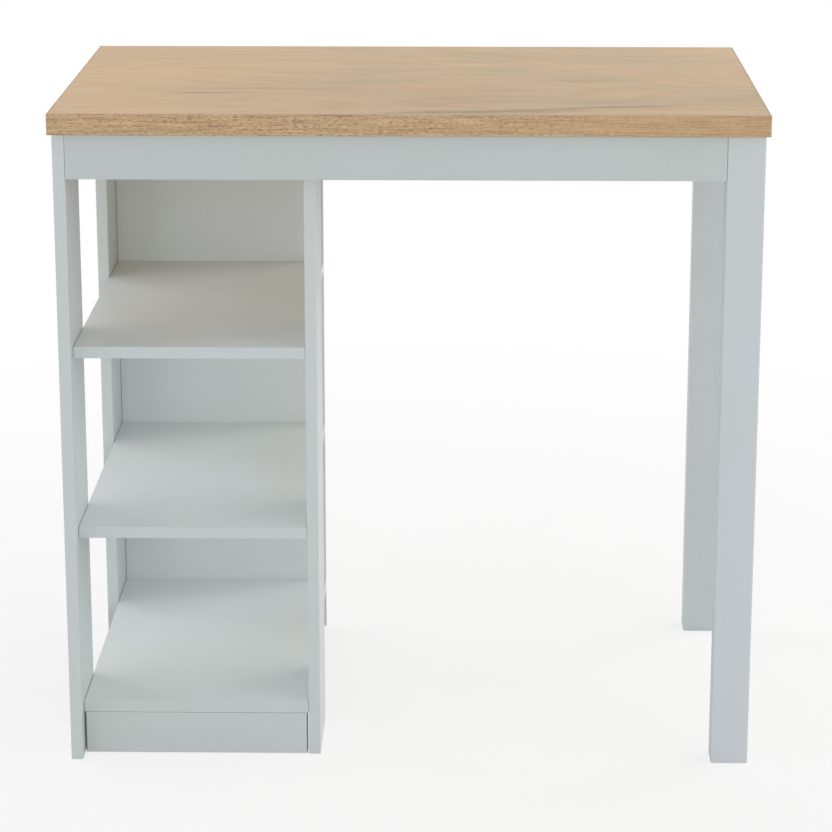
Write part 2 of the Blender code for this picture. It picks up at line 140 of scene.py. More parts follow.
class Graph:
    """Adds nodes to one node tree and links them."""

    def __init__(self, tree: bpy.types.NodeTree) -> None:
        """Keep the tree that the nodes go into."""
        self.tree = tree

    def feed(self, socket: Socket, value: Feed) -> None:
        """Link an input to another socket, or set its value.

        Args:
            socket: the input.
            value: the socket or the plain value that it takes.
        """
        if isinstance(value, Socket):
            self.tree.links.new(value, socket)
        else:
            socket.default_value = value

    def plug(self, node: Node, feeds: Feeds) -> None:
        """Feed a node's inputs, by their names or numbers."""
        for key, value in feeds.items():
            self.feed(node.inputs[key], value)

    def add(self, kind: str, feeds: Feeds | None = None, **settings: object) -> Node:
        """Add a node.

        Args:
            kind: Blender's name for the type of node.
            feeds: what each input takes, by the input's name or number.
            settings: the node's properties.

        Returns:
            The new node.
        """
        node = self.tree.nodes.new(kind)
        for name, value in settings.items():
            setattr(node, name, value)
        self.plug(node, feeds or {})
        return node

    def place(self) -> Socket:
        """Return the place on the surface, in the piece's own frame."""
        return self.add("ShaderNodeTexCoord").outputs["Object"]

    def seen(self) -> Socket:
        """Return a mask of the rays that show a background, straight, in gloss or through glass.

        Returns:
            The mask, which is 1 for such rays.
        """
        rays = self.add("ShaderNodeLightPath").outputs
        seen = self.math("MAXIMUM", rays["Is Camera Ray"], rays["Is Glossy Ray"])
        return self.math("MAXIMUM", seen, rays["Is Transmission Ray"])

    def math(self, operation: str, first: Feed, second: Feed = 0.0) -> Socket:
        """Return what Blender's operation of that name makes of two numbers."""
        return self.add("ShaderNodeMath", {0: first, 1: second}, operation=operation).outputs[0]

    def times(self, first: Feed, second: Feed) -> Socket:
        """Return the product of two numbers."""
        return self.math("MULTIPLY", first, second)

    def swing(self, noise: Feed, reach: Feed) -> Socket:
        """Return noise from 0 to 1 as a swing round 0, this far from end to end."""
        return self.times(self.math("SUBTRACT", noise, 0.5), reach)

    def vector(self, operation: str, first: Feed, second: Feed) -> Socket:
        """Return what Blender's operation of that name makes of two vectors."""
        return self.add("ShaderNodeVectorMath", {0: first, 1: second}, operation=operation).outputs[0]

    def parts(self, vector: Feed) -> Sockets:
        """Return a vector's three parts, as X, Y and Z."""
        outputs = self.add("ShaderNodeSeparateXYZ", {0: vector}).outputs
        return {name: outputs[name] for name in ("X", "Y", "Z")}

    def join(self, along: Feed, across: Feed, through: Feed) -> Socket:
        """Return the vector that three parts make."""
        return self.add("ShaderNodeCombineXYZ", {0: along, 1: across, 2: through}).outputs[0]

    def noise(self, vector: Feed, scale: Feed = 1.0, detail: float = 2.0, roughness: float = 0.5) -> Socket:
        """Return soft noise from 0 to 1, by its waves in a unit, its finer layers and their strength."""
        feeds = {"Vector": vector, "Scale": scale, "Detail": detail, "Roughness": roughness}
        return self.add("ShaderNodeTexNoise", feeds).outputs[0]

    def ranged(self, value: Feed, low: float, high: float, start: float = 0.0, end: float = 1.0) -> Socket:
        """Map the values from low to high softly onto those from start to end, and clamp them."""
        feeds = {"Value": value, "From Min": low, "From Max": high, "To Min": start, "To Max": end}
        return self.add("ShaderNodeMapRange", feeds, interpolation_type="SMOOTHSTEP").outputs[0]

    def blend(self, share: Feed, first: Feed, second: Feed, way: str = "MIX") -> Socket:
        """Return the first colour with a share of the second, by Blender's name for the way of blending."""
        feeds = {0: share, 6: first, 7: second}
        return self.add("ShaderNodeMix", feeds, data_type="RGBA", blend_type=way).outputs[2]

    def over(self, tint: Feed, colour: Feed, mask: Feed, share: Feed) -> Socket:
        """Return a tint with a share of another colour over it, where a mask lets it."""
        return self.blend(self.times(mask, share), tint, colour)

    def shade(self, tint: Feed, light: Feed) -> Socket:
        """Return a tint with its brightness multiplied."""
        grey = self.add("ShaderNodeCombineColor", {0: light, 1: light, 2: light}).outputs[0]
        return self.blend(1.0, tint, grey, "MULTIPLY")

    def ramp(self, value: Feed, places: Sequence[float], colours: Sequence[Colour]) -> Socket:
        """Turn a value into a colour by steps along a scale.

        Args:
            value: the value, from 0 to 1.
            places: the steps' places on the scale, in rising order.
            colours: the colour at each step.

        Returns:
            The colour.
        """
        node = self.add("ShaderNodeValToRGB", {0: value})
        scale = node.color_ramp.elements
        while len(scale) < len(places):
            scale.new(1.0)
        for step, place, colour in zip(scale, places, colours):
            step.position = place
            step.color = colour
        return node.outputs[0]

    def bump(self, height: Feed, strength: float, distance: float) -> Socket:
        """Return the normal of a surface with small heights, by their strength and a full step's size."""
        feeds = {"Height": height, "Strength": strength, "Distance": distance}
        return self.add("ShaderNodeBump", feeds).outputs[0]


class Effect(Graph):
    """A shader node group that several finishes use."""

    name = ""
    inputs: dict[str, str] = {}
    outputs: tuple[str, ...] = ()

    def __init__(self) -> None:
        """Build the group's node tree, with its named inputs and outputs."""
        super().__init__(bpy.data.node_groups.new(self.name, "ShaderNodeTree"))
        for name, kind in self.inputs.items():
            self.tree.interface.new_socket(name=name, in_out="INPUT", socket_type=kind)
        for name in self.outputs:
            self.tree.interface.new_socket(name=name, in_out="OUTPUT", socket_type=FLOAT_SOCKET)
        source = self.add("NodeGroupInput").outputs
        self.add("NodeGroupOutput", self.wire({name: source[name] for name in self.inputs}))

    def wire(self, given: Sockets) -> Sockets:
        """Build the nodes from the group's inputs, and return what feeds its outputs, by name."""
        raise NotImplementedError

    def use(self, graph: Graph, **feeds: Feed) -> Sockets:
        """Place the group in a material.

        Args:
            graph: the material's graph.
            feeds: what each input takes, by its name in lower case.

        Returns:
            The group's outputs by name.
        """
        given = {name: feeds[name.lower()] for name in self.inputs}
        node = graph.add("ShaderNodeGroup", given, node_tree=self.tree)
        return {name: node.outputs[name] for name in self.outputs}


class Waves(NamedTuple):
    """Noise stretched along the grain: its size in fibres, its finer layers and their strength."""

    length: float
    width: float
    detail: float
    roughness: float


class WoodFibre(Effect):
    """Fibres that run along a board: broad figure, fine lines and short pores."""

    name = "wood_fibre"
    inputs = {"Vector": VECTOR_SOCKET, "Length": FLOAT_SOCKET, "Width": FLOAT_SOCKET, "Waver": FLOAT_SOCKET}
    outputs = ("Figure", "Fibre", "Pores")
    layers = {
        "Figure": Waves(3.2, 10.0, 3.0, 0.55),
        "Fibre": Waves(1.0, 1.0, 4.0, 0.6),
        "Pores": Waves(0.12, 0.30, 1.0, 0.5),
    }
    pore_span: Span = (0.60, 0.72)
    sway_waves = 0.05

    def wire(self, given: Sockets) -> Sockets:
        """Stretch noise along the grain at three scales, with a shared waver across it.

        Args:
            given: the place in the grain's own order, and the fibres' length, width and waver.

        Returns:
            The figure, the fibre and the pores.
        """
        parts = self.parts(given["Vector"])
        run = self.math("DIVIDE", parts["X"], given["Length"])
        lie = self.math("DIVIDE", parts["Y"], given["Width"])
        deep = self.math("DIVIDE", parts["Z"], given["Width"])
        slow = [self.times(part, self.sway_waves) for part in (lie, deep)]
        sway = self.swing(self.noise(self.join(run, *slow)), given["Waver"])
        lie = self.math("ADD", lie, self.math("DIVIDE", sway, given["Width"]))
        results = {}
        for name, waves in self.layers.items():
            sizes = ((run, waves.length), (lie, waves.width), (deep, waves.width))
            scaled = self.join(*(self.math("DIVIDE", part, size) for part, size in sizes))
            results[name] = self.noise(scaled, 1.0, waves.detail, waves.roughness)
        results["Pores"] = self.ranged(results["Pores"], *self.pore_span)
        return results


class PearlSkin(Effect):
    """The fine embossed skin of a pressed or moulded surface."""

    name = "pearl_skin"
    inputs = {"Vector": VECTOR_SOCKET, "Grain": FLOAT_SOCKET}
    outputs = ("Height", "Speckle")
    coarse_share = 0.7
    fine_share = 0.3
    fine_waves = 3.1
    speckle_waves = 0.22

    def wire(self, given: Sockets) -> Sockets:
        """Lay two sizes of grain over each other, and a coarser speckle beside them.

        Args:
            given: the place on the surface and the size of the grain.

        Returns:
            The height and the speckle.
        """
        place = given["Vector"]
        waves = self.math("DIVIDE", 1.0, given["Grain"])
        coarse = self.noise(place, waves)
        fine = self.noise(place, self.times(waves, self.fine_waves), detail=1.0)
        speckle = self.noise(place, self.times(waves, self.speckle_waves), detail=5.0, roughness=0.65)
        height = self.math("ADD", self.times(coarse, self.coarse_share), self.times(fine, self.fine_share))
        return {"Height": height, "Speckle": speckle}


class HandMarks(Effect):
    """Soft marks left by wiping and by hands."""

    name = "hand_marks"
    inputs = {"Vector": VECTOR_SOCKET, "Spread": FLOAT_SOCKET}
    outputs = ("Marks",)
    patch_span: Span = (0.42, 0.72)
    smear_waves = 6.5

    def wire(self, given: Sockets) -> Sockets:
        """Break up broad patches with finer smears.

        Args:
            given: the place on the surface and the size of the patches.

        Returns:
            The marks.
        """
        place = given["Vector"]
        waves = self.math("DIVIDE", 1.0, given["Spread"])
        patches = self.ranged(self.noise(place, waves, detail=3.0), *self.patch_span)
        smears = self.noise(place, self.times(waves, self.smear_waves), detail=4.0, roughness=0.6)
        return {"Marks": self.times(patches, self.ranged(smears, *WIDE_NOISE))}


class EdgeRub(Effect):
    """Rubbing along the edges of a piece that has the shape of a box."""

    name = "edge_rub"
    inputs = {"Vector": VECTOR_SOCKET, "Low": VECTOR_SOCKET, "High": VECTOR_SOCKET, "Reach": FLOAT_SOCKET}
    outputs = ("Rub",)
    break_waves = 70.0
    least = 0.25

    def wire(self, given: Sockets) -> Sockets:
        """Take the middle one of the distances to the box's sides, which is the distance to the nearest edge.

        Args:
            given: the place on the surface, the box's corners, and how far in the rubbing reaches.

        Returns:
            The rubbing, which is 1 at an edge.
        """
        place = given["Vector"]
        from_low = self.vector("SUBTRACT", place, given["Low"])
        from_high = self.vector("SUBTRACT", given["High"], place)
        near = self.parts(self.vector("MINIMUM", from_low, from_high))
        smaller = self.math("MINIMUM", near["X"], near["Y"])
        larger = self.math("MAXIMUM", near["X"], near["Y"])
        edge = self.math("MAXIMUM", smaller, self.math("MINIMUM", larger, near["Z"]))
        close = self.math("SUBTRACT", 1.0, self.math("DIVIDE", edge, given["Reach"]))
        breaks = self.noise(place, self.break_waves, detail=4.0, roughness=0.6)
        broken = self.ranged(breaks, *MOST_NOISE, self.least, 1.0)
        return {"Rub": self.times(self.math("MAXIMUM", close, 0.0), broken)}


WOOD_FIBRE = WoodFibre()
PEARL_SKIN = PearlSkin()
HAND_MARKS = HandMarks()
EDGE_RUB = EdgeRub()


class Paint(Graph):
    """The nodes of one new material, round its Principled shader."""

    def __init__(self, name: str) -> None:
        """Start the material.

        Args:
            name: its name.
        """
        self.material = bpy.data.materials.new(name)
        self.material.use_nodes = True
        super().__init__(self.material.node_tree)
        self.shader = self.tree.nodes["Principled BSDF"]

    def grain(self, way: GrainWay) -> Socket:
        """Return the place on the surface, as lengths along, across and through the grain."""
        parts = self.parts(self.place())
        return self.join(*(parts[axis] for axis in way.value))

    def wiped(self, place: Socket, spread: float, rough: Span) -> Socket:
        """Return a roughness that rises where wiping and hands have left marks."""
        marks = HAND_MARKS.use(self, vector=place, spread=spread)["Marks"]
        return self.ranged(marks, 0.0, 1.0, *rough)

    def rubbing(self, place: Socket, extent: Extent, reach: float) -> Socket:
        """Return the rubbing along the edges of a piece, as far in as it reaches."""
        return EDGE_RUB.use(self, vector=place, low=extent.low, high=extent.high, reach=reach)["Rub"]

    def coat(self, feeds: Feeds) -> Material:
        """Feed the shader's inputs by their names, and return the finished material."""
        self.plug(self.shader, feeds)
        return self.material


class Relief(NamedTuple):
    """Small heights on a surface: how strongly they show, and the height of a full step."""

    strength: float
    height: float


@dataclass(frozen=True)
class Fibres:
    """The length and width of wood fibres, and how far they waver."""

    length: float
    width: float
    waver: float

    def lay(self, paint: Paint, grain: Socket) -> Sockets:
        """Return the figure, the fibre lines and the pores of such wood."""
        return WOOD_FIBRE.use(paint, vector=grain, length=self.length, width=self.width, waver=self.waver)


@dataclass(frozen=True)
class Melamine:
    """Pale melamine on a board: a cool grey white that drifts between two tints."""

    green_grey: Colour = tone(202, 209, 207)
    blue_grey: Colour = tone(205, 211, 213)
    rubbed: Colour = tone(218, 222, 223)
    drift_waves: float = 3.4
    speckle: float = 0.012
    grain: float = 0.0011
    relief: Relief = Relief(0.10, 0.00012)
    rough: Span = (0.50, 0.64)
    gloss: float = 0.34
    mark_spread: float = 0.16
    rub_reach: float = 0.0016
    rub_share: float = 0.45

    def material(self, name: str, extent: Extent) -> Material:
        """Make the finish of one piece.

        Args:
            name: the material's name.
            extent: the corners of the board that the piece belongs to.

        Returns:
            The material.
        """
        paint = Paint(name)
        place = paint.place()
        skin = PEARL_SKIN.use(paint, vector=place, grain=self.grain)
        rub = paint.rubbing(place, extent, self.rub_reach)
        drift = paint.ranged(paint.noise(place, self.drift_waves, detail=3.0), *MOST_NOISE)
        tint = paint.blend(drift, self.green_grey, self.blue_grey)
        dots = paint.ranged(skin["Speckle"], *WIDE_NOISE, 1.0 - self.speckle, 1.0 + self.speckle)
        tint = paint.shade(tint, dots)
        return paint.coat({
            "Base Color": paint.over(tint, self.rubbed, rub, self.rub_share),
            "Roughness": paint.wiped(place, self.mark_spread, self.rough),
            "Normal": paint.bump(skin["Height"], *self.relief),
            "Specular IOR Level": self.gloss,
        })


@dataclass(frozen=True)
class Edging(Melamine):
    """The same melamine as a thin strip: a little glossier, with a coarser skin and hardly any speckle."""

    green_grey: Colour = tone(201, 209, 207)
    blue_grey: Colour = tone(203, 210, 212)
    speckle: float = 0.006
    grain: float = 0.0025
    relief: Relief = Relief(0.04, 0.00012)
    rough: Span = (0.40, 0.52)


@dataclass(frozen=True)
class Streak:
    """A long dark streak in the oak figure, on the worktop's face; the same oval also lays a broad patch of
    painted shade.
    """

    x: float
    y: float
    half_length: float
    half_width: float
    depth: float
    slope: float = 0.0

    def share(self, graph: Graph, along: Feed, across: Feed) -> Socket:
        """Return how dark the streak is at a place, which fades to nothing at its rim.

        Args:
            graph: the material's graph.
            along: the place along the worktop.
            across: the place across it.

        Returns:
            The share of the streak's colour.
        """
        run = graph.math("SUBTRACT", along, self.x)
        middle = graph.math("ADD", graph.times(run, self.slope), self.y)
        run = graph.math("DIVIDE", run, self.half_length)
        lie = graph.math("DIVIDE", graph.math("SUBTRACT", across, middle), self.half_width)
        far = graph.math("ADD", graph.times(run, run), graph.times(lie, lie))
        return graph.ranged(far, 0.0, 1.0, self.depth, 0.0)


@dataclass(frozen=True)
class OakLaminate:
    """Printed oak laminate: soft figure along the worktop, with a few darker streaks, fine pores and painted
    shade over its front.
    """

    warm_tan: Colour = tone(227, 194, 155)
    mid_tan: Colour = tone(215, 189, 155)
    olive_tan: Colour = tone(203, 184, 151)
    ring_brown: Colour = tone(168, 138, 102)
    pore_brown: Colour = tone(138, 108, 75)
    # The streaks' colour, which also paints the shade over the front of the worktop.
    streak_and_shade_brown: Colour = tone(122, 102, 78)
    rubbed: Colour = tone(218, 196, 167)
    way: GrainWay = GrainWay.ALONG_X
    fibres: Fibres = Fibres(length=0.24, width=0.0030, waver=0.020)
    cloud_waves: Point = (3.0, 9.0, 9.0)
    cloud_steps: Point = (0.32, 0.50, 0.68)
    warm_end: Span = (-0.45, 0.02)
    warm_share: float = 0.7
    ring_waves: Point = (1.15, 5.2, 5.2)
    ring_roughness: float = 0.35
    ring_count: float = 21.0
    ring_share: float = 0.12
    ring_fuzz: float = 0.55
    ring_rise: Span = (0.30, 0.88)
    fray_span: Span = (0.35, 0.68)
    fray_least: float = 0.35
    line_span: Span = (0.28, 0.72)
    line_shades: Span = (0.965, 1.03)
    pore_shares: Span = (0.12, 0.40)
    pore_depth: float = 0.8
    grain: float = 0.0009
    mark_spread: float = 0.20
    rub_reach: float = 0.002
    rub_share: float = 0.4
    rough: Span = (0.60, 0.72)
    gloss: float = 0.3
    relief: Relief = Relief(0.12, 0.00012)
    bend_waves: Point = (9.0, 30.0, 0.0)
    bend_reach: float = 0.036
    streaks: tuple[Streak, ...] = (
        Streak(0.100, -0.272, 0.170, 0.018, 0.62, 0.10),
        Streak(0.255, -0.240, 0.130, 0.010, 0.66, 0.15),
        Streak(0.060, -0.190, 0.120, 0.060, 0.20, 0.20),
        Streak(-0.270, -0.125, 0.080, 0.009, 0.48, 0.05),
        Streak(-0.170, -0.092, 0.150, 0.010, 0.22, 0.00),
        Streak(0.250, -0.020, 0.060, 0.008, 0.18, 0.10),
        Streak(-0.020, 0.150, 0.180, 0.012, 0.14, 0.03),
        Streak(0.310, 0.205, 0.110, 0.009, 0.18, -0.06),
        Streak(-0.330, 0.185, 0.090, 0.008, 0.16, 0.08),
    )
    # A broad patch of painted shade, which darkens the front half of the worktop with the streak colour.
    front_painted_shade: Streak = Streak(0.150, -0.250, 0.750, 0.420, 0.15)

    def streak_and_shade_share(self, graph: Graph, place: Socket) -> Socket:
        """Return how much of the streak colour there is, with the painted shade over the front of the worktop
        added.

        Args:
            graph: the material's graph.
            place: the place on the surface.

        Returns:
            The share, from 0 to 1.
        """
        parts = graph.parts(place)
        bend = graph.noise(graph.vector("MULTIPLY", place, self.bend_waves))
        across = graph.math("ADD", parts["Y"], graph.swing(bend, self.bend_reach))
        share: Feed = 0.0
        for streak in self.streaks:
            share = graph.math("MAXIMUM", share, streak.share(graph, parts["X"], across))
        # The broad painted shade is added over the streaks.
        return graph.math("ADD", share, self.front_painted_shade.share(graph, parts["X"], across))

    def ring_lines(self, graph: Graph, grain: Socket, fibre: Feed) -> Socket:
        """Return the dark lines of the growth rings, which close into long arches.

        Args:
            graph: the material's graph.
            grain: the place in the grain's own order.
            fibre: the fine fibres, which fray the lines.

        Returns:
            The lines, which are 1 where they are darkest.
        """
        hills = graph.noise(graph.vector("MULTIPLY", grain, self.ring_waves), roughness=self.ring_roughness)
        fray = graph.swing(fibre, self.ring_fuzz)
        rings = graph.math("FRACT", graph.math("ADD", graph.times(hills, self.ring_count), fray))
        start, peak = self.ring_rise
        fall = graph.ranged(rings, peak, 1.0, 1.0, 0.0)
        return graph.math("MINIMUM", graph.ranged(rings, start, peak), fall)

    def material(self, name: str, extent: Extent) -> Material:
        """Make the finish of the worktop.

        Args:
            name: the material's name.
            extent: the corners of the worktop.

        Returns:
            The material.
        """
        paint = Paint(name)
        place = paint.place()
        grain = paint.grain(self.way)
        wood = self.fibres.lay(paint, grain)
        skin = PEARL_SKIN.use(paint, vector=place, grain=self.grain)
        rub = paint.rubbing(place, extent, self.rub_reach)
        clouds = paint.noise(paint.vector("MULTIPLY", grain, self.cloud_waves), detail=4.0, roughness=0.55)
        tint = paint.ramp(clouds, self.cloud_steps, (self.warm_tan, self.mid_tan, self.olive_tan))
        warm = paint.ranged(paint.parts(place)["X"], *self.warm_end, self.warm_share, 0.0)
        tint = paint.blend(warm, tint, self.warm_tan)
        rings = self.ring_lines(paint, grain, wood["Fibre"])
        tint = paint.over(tint, self.ring_brown, rings, self.ring_share)
        frayed = paint.ranged(wood["Fibre"], *self.fray_span, self.fray_least, 1.0)
        tint = paint.over(tint, self.streak_and_shade_brown, self.streak_and_shade_share(paint, place), frayed)
        tint = paint.shade(tint, paint.ranged(wood["Fibre"], *self.line_span, *self.line_shades))
        pores = paint.ranged(rings, 0.0, 1.0, *self.pore_shares)
        tint = paint.over(tint, self.pore_brown, wood["Pores"], pores)
        relief = paint.math("SUBTRACT", skin["Height"], paint.times(wood["Pores"], self.pore_depth))
        return paint.coat({
            "Base Color": paint.over(tint, self.rubbed, rub, self.rub_share),
            "Roughness": paint.wiped(place, self.mark_spread, self.rough),
            "Normal": paint.bump(relief, *self.relief),
            "Specular IOR Level": self.gloss,
        })


@dataclass(frozen=True)
class OakStrip:
    """Oak edging: warmer than the face, with short coarse fibres along the strip."""

    dark: Colour = tone(114, 84, 52)
    middle: Colour = tone(185, 151, 113)
    light: Colour = tone(211, 180, 139)
    pore_brown: Colour = tone(88, 63, 39)
    fibres: Fibres = Fibres(length=0.055, width=0.0013, waver=0.0004)
    dashes: Fibres = Fibres(length=0.0065, width=0.0012, waver=0.0004)
    steps: Point = (0.28, 0.42, 0.66)
    figure_shades: Span = (0.94, 1.05)
    dash_span: Span = (0.51, 0.64)
    fleck_span: Span = (0.36, 0.49)
    calm_end: Span = (-0.05, 0.42)
    calm_share: float = 0.35
    dash_shares: Span = (0.62, 0.22)
    mark_spread: float = 0.12
    rough: Span = (0.46, 0.60)
    relief: Relief = Relief(0.18, 0.00015)

    def material(self, name: str, way: GrainWay) -> Material:
        """Make the finish of one strip.

        Args:
            name: the material's name.
            way: the way that the strip runs.

        Returns:
            The material.
        """
        paint = Paint(name)
        grain = paint.grain(way)
        wood = self.fibres.lay(paint, grain)
        short = self.dashes.lay(paint, grain)["Fibre"]
        tint = paint.ramp(wood["Fibre"], self.steps, (self.dark, self.middle, self.light))
        along = paint.parts(grain)["X"]
        tint = paint.over(tint, self.middle, paint.ranged(along, *self.calm_end), self.calm_share)
        tint = paint.shade(tint, paint.ranged(wood["Figure"], *MOST_NOISE, *self.figure_shades))
        strong = paint.ranged(along, *self.calm_end, *self.dash_shares)
        tint = paint.over(tint, self.light, paint.ranged(short, *self.fleck_span, 1.0, 0.0), strong)
        dashes = paint.ranged(short, *self.dash_span)
        relief = paint.math("SUBTRACT", wood["Fibre"], dashes)
        return paint.coat({
            "Base Color": paint.over(tint, self.pore_brown, dashes, strong),
            "Roughness": paint.wiped(grain, self.mark_spread, self.rough),
            "Normal": paint.bump(relief, *self.relief),
        })


@dataclass(frozen=True)
class Metal:
    """Bare or plated metal with a cast or drawn skin."""

    bright: Colour
    dull: Colour
    rough: Span
    grain: float
    relief: Relief
    mark_spread: float = 0.006

    def material(self, name: str) -> Material:
        """Make the finish.

        Args:
            name: the material's name.

        Returns:
            The material.
        """
        paint = Paint(name)
        place = paint.place()
        skin = PEARL_SKIN.use(paint, vector=place, grain=self.grain)
        return paint.coat({
            "Base Color": paint.blend(paint.ranged(skin["Speckle"], *MOST_NOISE), self.dull, self.bright),
            "Roughness": paint.wiped(place, self.mark_spread, self.rough),
            "Normal": paint.bump(skin["Height"], *self.relief),
            "Metallic": 1.0,
        })


@dataclass(frozen=True)
class Beech:
    """Plain beech, as dowels are made of."""

    pale: Colour = tone(205, 168, 124)
    dark: Colour = tone(178, 138, 96)
    fleck: Colour = tone(132, 94, 60)
    fibres: Fibres = Fibres(length=0.016, width=0.0009, waver=0.0006)
    fleck_share: float = 0.4
    rough: Span = (0.58, 0.70)
    relief: Relief = Relief(0.2, 0.0001)

    def material(self, name: str, way: GrainWay) -> Material:
        """Make the finish.

        Args:
            name: the material's name.
            way: the way that the grain runs.

        Returns:
            The material.
        """
        paint = Paint(name)
        wood = self.fibres.lay(paint, paint.grain(way))
        tint = paint.ramp(wood["Fibre"], MOST_NOISE, (self.dark, self.pale))
        return paint.coat({
            "Base Color": paint.over(tint, self.fleck, wood["Pores"], self.fleck_share),
            "Roughness": paint.ranged(wood["Figure"], *MOST_NOISE, *self.rough),
            "Normal": paint.bump(wood["Fibre"], *self.relief),
        })


@dataclass(frozen=True)
class ShadedChipboard:
    """Cut chipboard, which shows where a board's end has no edging; its dark greys also paint the shade in
    the narrow gap beside it.
    """

    pale: Colour = tone(146, 151, 149)
    dark: Colour = tone(90, 95, 94)
    steps: Span = (0.35, 0.62)
    grain: float = 0.0007
    rough: Span = (0.92, 0.80)
    relief: Relief = Relief(0.5, 0.0003)

    def material(self, name: str) -> Material:
        """Make the finish.

        Args:
            name: the material's name.

        Returns:
            The material.
        """
        paint = Paint(name)
        chips = PEARL_SKIN.use(paint, vector=paint.place(), grain=self.grain)["Speckle"]
        return paint.coat({
            "Base Color": paint.ramp(chips, self.steps, (self.dark, self.pale)),
            "Roughness": paint.ranged(chips, *MOST_NOISE, *self.rough),
            "Normal": paint.bump(chips, *self.relief),
        })


def linked(name: str, data: bpy.types.ID) -> bpy.types.Object:
    """Put a mesh, a lamp or a camera into the scene.

    Args:
        name: the new object's name.
        data: what it holds.

    Returns:
        The new object.
    """
    thing = bpy.data.objects.new(name, data)
    bpy.context.scene.collection.objects.link(thing)
    return thing


def mesh_of(body: Shape, name: str, *finish: Material) -> Mesh:
    """Turn a body into a mesh, and free the body.

    Args:
        body: the body.
        name: the mesh's name.
        finish: its material, if it has one yet.

    Returns:
        The mesh.
    """
    mesh = bpy.data.meshes.new(name)
    body.to_mesh(mesh)
    body.free()
    for material in finish:
        mesh.materials.append(material)
    return mesh


def smoothed(body: Shape, name: str, material: Material) -> Mesh:
    """Turn a body into a mesh that is shaded smoothly apart from its sharp edges.

    Args:
        body: the body.
        name: the mesh's name.
        material: its finish.

    Returns:
        The mesh.
    """
    mesh = mesh_of(body, name, material)
    mesh.shade_smooth()
    mesh.set_sharp_from_angle(angle=SHARP_ANGLE)
    return mesh


def add_piece(name: str, mesh: Mesh, slot: Slot, node: str, where: Matrix | None = None) -> None:
    """Show a mesh in the place of a piece of the frame.

    Args:
        name: the new piece's name.
        mesh: its mesh, which has its material.
        slot: the record's name for its finish; not used.
        node: the piece of the frame that it stands for.
        where: where the mesh goes; it stays as it is if this isn't given.
    """
    piece = linked(name, mesh)
    if where is not None:
        piece.matrix_world = where
    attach(piece, BODY)
    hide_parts(node)
    LOG.info("%s: built for %s", name, node)


def dress_node(node: str, material: Material, slot: Slot) -> None:
    """Give a piece of the frame its finish.

    Args:
        node: the piece's name.
        material: the finish.
        slot: the record's name for the finish; not used.
    """
    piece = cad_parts[node]
    piece.data.materials.clear()
    piece.data.materials.append(material)
    LOG.info("%s: dressed", node)


def carve(body: Shape, tool: Shape, operation: str = "DIFFERENCE") -> Shape:
    """Cut one body with another, and free them both.

    Args:
        body: the body that is cut.
        tool: the body that cuts it.
        operation: Blender's name for the way of cutting.

    Returns:
        The cut body.
    """
    meshes = [mesh_of(part, "cut") for part in (body, tool)]
    things = [linked("cut", mesh) for mesh in meshes]
    modifier = things[0].modifiers.new("cut", "BOOLEAN")
    modifier.operation = operation
    modifier.solver = "EXACT"
    modifier.object = things[1]
    result = bmesh.new()
    result.from_object(things[0], bpy.context.evaluated_depsgraph_get())
    bmesh.ops.dissolve_degenerate(result, edges=result.edges, dist=2 * WELD)
    for thing, mesh in zip(things, meshes):
        bpy.data.objects.remove(thing)
        bpy.data.meshes.remove(mesh)
    return result


def loft(outlines: Sequence[Sequence[Point]]) -> Shape:
    """Build a closed body through outlines that have the same number of points.

    Args:
        outlines: the outlines, from one end of the body to the other.

    Returns:
        The body.
    """
    body = bmesh.new()
    rings = [[body.verts.new(point) for point in outline] for outline in outlines]
    for lower, upper in zip(rings, rings[1:]):
        for step, corner in enumerate(lower):
            after = (step + 1) % len(lower)
            body.faces.new((corner, lower[after], upper[after], upper[step]))
    body.faces.new(rings[0])
    body.faces.new(rings[-1])
    bmesh.ops.recalc_face_normals(body, faces=body.faces)
    return body


def ringed_body(heights: Sequence[float], around: int, radius_at: Radius) -> Shape:
    """Build a closed round body from rings along Z.

    Args:
        heights: the rings' heights, in rising or falling order.
        around: how many points a ring has.
        radius_at: gives the radius at a height and an angle.

    Returns:
        The body.
    """
    angles = [2 * math.pi * step / around for step in range(around)]
    rings = []
    for height in heights:
        spokes = [(radius_at(height, angle), angle) for angle in angles]
        rings.append([(r * math.cos(a), r * math.sin(a), height) for r, a in spokes])
    return loft(rings)


def turned(profile: dict[float, float], around: int) -> Shape:
    """Return a closed round body from its radius at each height."""
    return ringed_body(list(profile), around, lambda height, _: profile[height])


